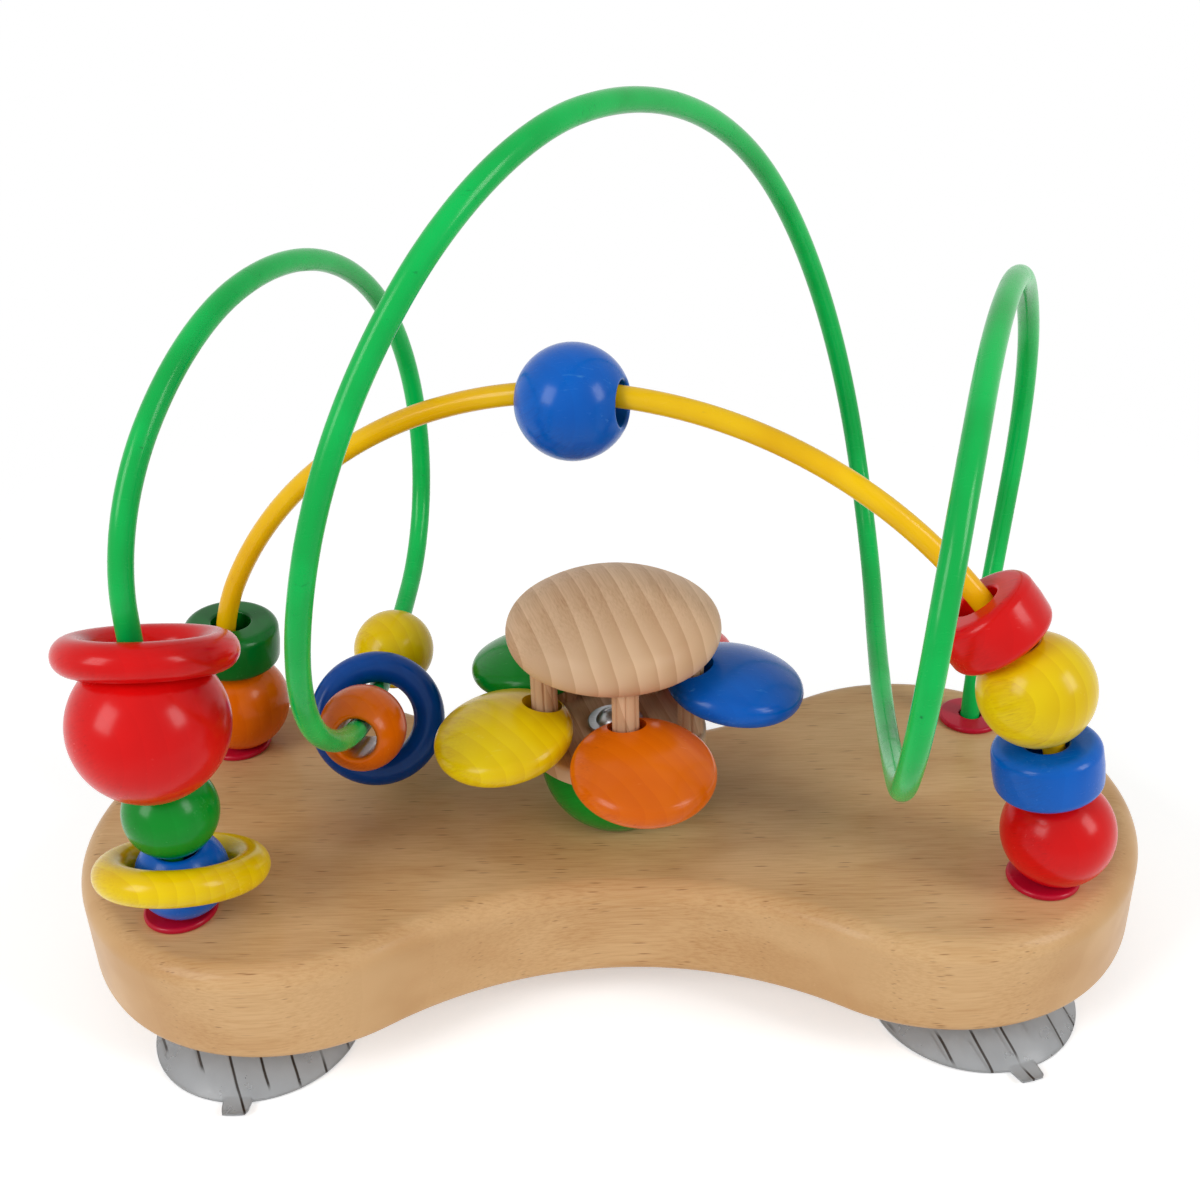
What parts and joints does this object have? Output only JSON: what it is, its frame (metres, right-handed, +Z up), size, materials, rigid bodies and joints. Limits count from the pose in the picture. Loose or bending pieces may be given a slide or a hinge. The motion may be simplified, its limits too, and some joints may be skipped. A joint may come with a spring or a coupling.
{
  "type": "wooden bead maze",
  "caption": "Wooden bead maze: a waisted board on suction cups with two bent wires, threaded wooden beads and rings, and a petal spinner in the middle.",
  "frame": {"origin": "on the table under the middle of the toy, level with the lips of the suction cups", "axes": "+X along the board to the viewer's right, +Y away from the viewer, +Z up"},
  "size_m": [0.2498, 0.1608, 0.2003],
  "materials": {
    "beech": "clear lacquer, satin",
    "pale_beech": "clear lacquer, satin",
    "green_enamel": "glossy coating",
    "yellow_enamel": "glossy coating",
    "crimson_plastic": "glossy",
    "steel": "plain",
    "clear_rubber": "translucent, smooth",
    "red_paint": "coloured lacquer, glossy",
    "blue_paint": "coloured lacquer, glossy",
    "navy_paint": "coloured lacquer, glossy",
    "green_paint": "coloured lacquer, glossy",
    "dark_green_paint": "coloured lacquer, glossy",
    "yellow_paint": "coloured lacquer, satin",
    "orange_paint": "coloured lacquer, glossy"
  },
  "bodies": {
    "base": {"base_board": "beech", "green_wire": "green_enamel", "yellow_wire": "yellow_enamel", "washer_front_left": "crimson_plastic", "washer_front_right": "crimson_plastic", "washer_back_left": "crimson_plastic", "washer_back_right": "crimson_plastic", "spinner_foot": "green_paint", "spindle_washer": "steel", "spindle_screw": "steel", "cup_back_right": "clear_rubber", "cup_front_right": "clear_rubber", "cup_back_left": "clear_rubber", "cup_front_left": "clear_rubber"},
    "spinner": {"spinner_disc": "beech", "spinner_cap": "pale_beech", "peg_yellow": "beech", "peg_orange": "beech", "peg_blue": "beech", "peg_red": "beech", "peg_green": "beech"},
    "left_blue_ball": {"left_blue_ball": "blue_paint"},
    "left_green_ball": {"left_green_ball": "green_paint"},
    "left_red_ball": {"left_red_ball": "red_paint"},
    "left_yellow_ring": {"left_yellow_ring": "yellow_paint"},
    "left_red_ring": {"left_red_ring": "red_paint"},
    "trough_yellow_ball": {"trough_yellow_ball": "yellow_paint"},
    "trough_blue_ring": {"trough_blue_ring": "navy_paint"},
    "trough_orange_ball": {"trough_orange_ball": "orange_paint"},
    "back_orange_ball": {"back_orange_ball": "orange_paint"},
    "back_green_barrel": {"back_green_barrel": "dark_green_paint"},
    "top_blue_ball": {"top_blue_ball": "blue_paint"},
    "right_red_ball": {"right_red_ball": "red_paint"},
    "right_blue_barrel": {"right_blue_barrel": "blue_paint"},
    "right_yellow_ball": {"right_yellow_ball": "yellow_paint"},
    "right_red_barrel": {"right_red_barrel": "red_paint"},
    "petal_yellow": {"petal_yellow": "yellow_paint"},
    "petal_orange": {"petal_orange": "orange_paint"},
    "petal_blue": {"petal_blue": "blue_paint"},
    "petal_red": {"petal_red": "red_paint"},
    "petal_green": {"petal_green": "green_paint"}
  },
  "joints": [
    {"name": "spinner_spin", "type": "hinge", "parent": "base", "child": "spinner", "pos_m": [0.002, 0, 0.055], "axis": [0, 0, 1], "continuous": true},
    {"name": "petal_yellow_swing", "type": "hinge", "parent": "spinner", "child": "petal_yellow", "pos_m": [-0.01399, -0.00712, 0.065], "axis": [0, 0, 1], "range_deg": [-3, 3]},
    {"name": "petal_orange_swing", "type": "hinge", "parent": "spinner", "child": "petal_orange", "pos_m": [0.00383, -0.0174, 0.065], "axis": [0, 0, 1], "range_deg": [-3, 3]},
    {"name": "petal_blue_swing", "type": "hinge", "parent": "spinner", "child": "petal_blue", "pos_m": [0.01912, -0.00364, 0.065], "axis": [0, 0, 1], "range_deg": [-3, 0]},
    {"name": "petal_red_swing", "type": "hinge", "parent": "spinner", "child": "petal_red", "pos_m": [0.01075, 0.01516, 0.065], "axis": [0, 0, 1], "range_deg": [0, 3]},
    {"name": "petal_green_swing", "type": "hinge", "parent": "spinner", "child": "petal_green", "pos_m": [-0.00971, 0.013, 0.065], "axis": [0, 0, 1], "range_deg": [-3, 3]},
    {"name": "left_blue_turn", "type": "hinge", "parent": "base", "child": "left_blue_ball", "pos_m": [-0.09286, -0.03332, 0.04618], "axis": [0.053, -0.0994, 0.9936], "continuous": true},
    {"name": "left_yellow_ring_tip", "type": "hinge", "parent": "base", "child": "left_yellow_ring", "pos_m": [-0.09286, -0.03332, 0.04618], "axis": [1, 0, 0], "range_deg": [0, 40]},
    {"name": "left_green_lift", "type": "slide", "parent": "base", "child": "left_green_ball", "axis": [0.053, -0.0994, 0.9936], "range_m": [0, 0.004]},
    {"name": "left_red_lift", "type": "slide", "parent": "left_green_ball", "child": "left_red_ball", "axis": [0.053, -0.0994, 0.9936], "range_m": [0, 0.005]},
    {"name": "left_red_ring_tip", "type": "hinge", "parent": "left_red_ball", "child": "left_red_ring", "pos_m": [-0.09112, -0.03911, 0.08815], "axis": [1, 0, 0], "range_deg": [0, 30]},
    {"name": "trough_yellow_glide", "type": "hinge", "parent": "base", "child": "trough_yellow_ball", "pos_m": [-0.03461, 0.01826, 0.1652], "axis": [-0.9793, 0.0751, 0.1882], "range_deg": [-5, 0]},
    {"name": "trough_ring_swing", "type": "hinge", "parent": "base", "child": "trough_blue_ring", "pos_m": [-0.05523, 0.01269, 0.06019], "axis": [-0.0695, -0.9946, 0.0767], "range_deg": [-15, 5]},
    {"name": "trough_orange_glide", "type": "hinge", "parent": "base", "child": "trough_orange_ball", "pos_m": [-0.05465, 0.01875, 0.13924], "axis": [-0.9976, 0.0698, 0.002], "range_deg": [0, 18]},
    {"name": "back_orange_turn", "type": "hinge", "parent": "base", "child": "back_orange_ball", "pos_m": [-0.093, 0.0325, 0.04827], "axis": [0, 0, 1], "continuous": true},
    {"name": "back_green_lift", "type": "hinge", "parent": "base", "child": "back_green_barrel", "pos_m": [-0.03823, 0.01308, 0.05559], "axis": [0.3237, 0.9462, 0], "range_deg": [0, 10]},
    {"name": "top_blue_glide", "type": "hinge", "parent": "base", "child": "top_blue_ball", "pos_m": [0, 0, 0.0336], "axis": [0.3237, 0.9462, 0], "range_deg": [-30, 25]},
    {"name": "right_red_turn", "type": "hinge", "parent": "base", "child": "right_red_ball", "pos_m": [0.0968, -0.0325, 0.04827], "axis": [0, 0, 1], "continuous": true},
    {"name": "right_blue_turn", "type": "hinge", "parent": "base", "child": "right_blue_barrel", "pos_m": [0.09249, -0.03222, 0.06571], "axis": [-0.1639, 0.0561, 0.9849], "continuous": true},
    {"name": "right_yellow_lift", "type": "hinge", "parent": "base", "child": "right_yellow_ball", "pos_m": [0, 0, 0.0336], "axis": [-0.3237, -0.9462, 0], "range_deg": [0, 8]},
    {"name": "right_red_barrel_lift", "type": "hinge", "parent": "right_yellow_ball", "child": "right_red_barrel", "pos_m": [0, 0, 0.0336], "axis": [-0.3237, -0.9462, 0], "range_deg": [0, 10]}
  ]
}
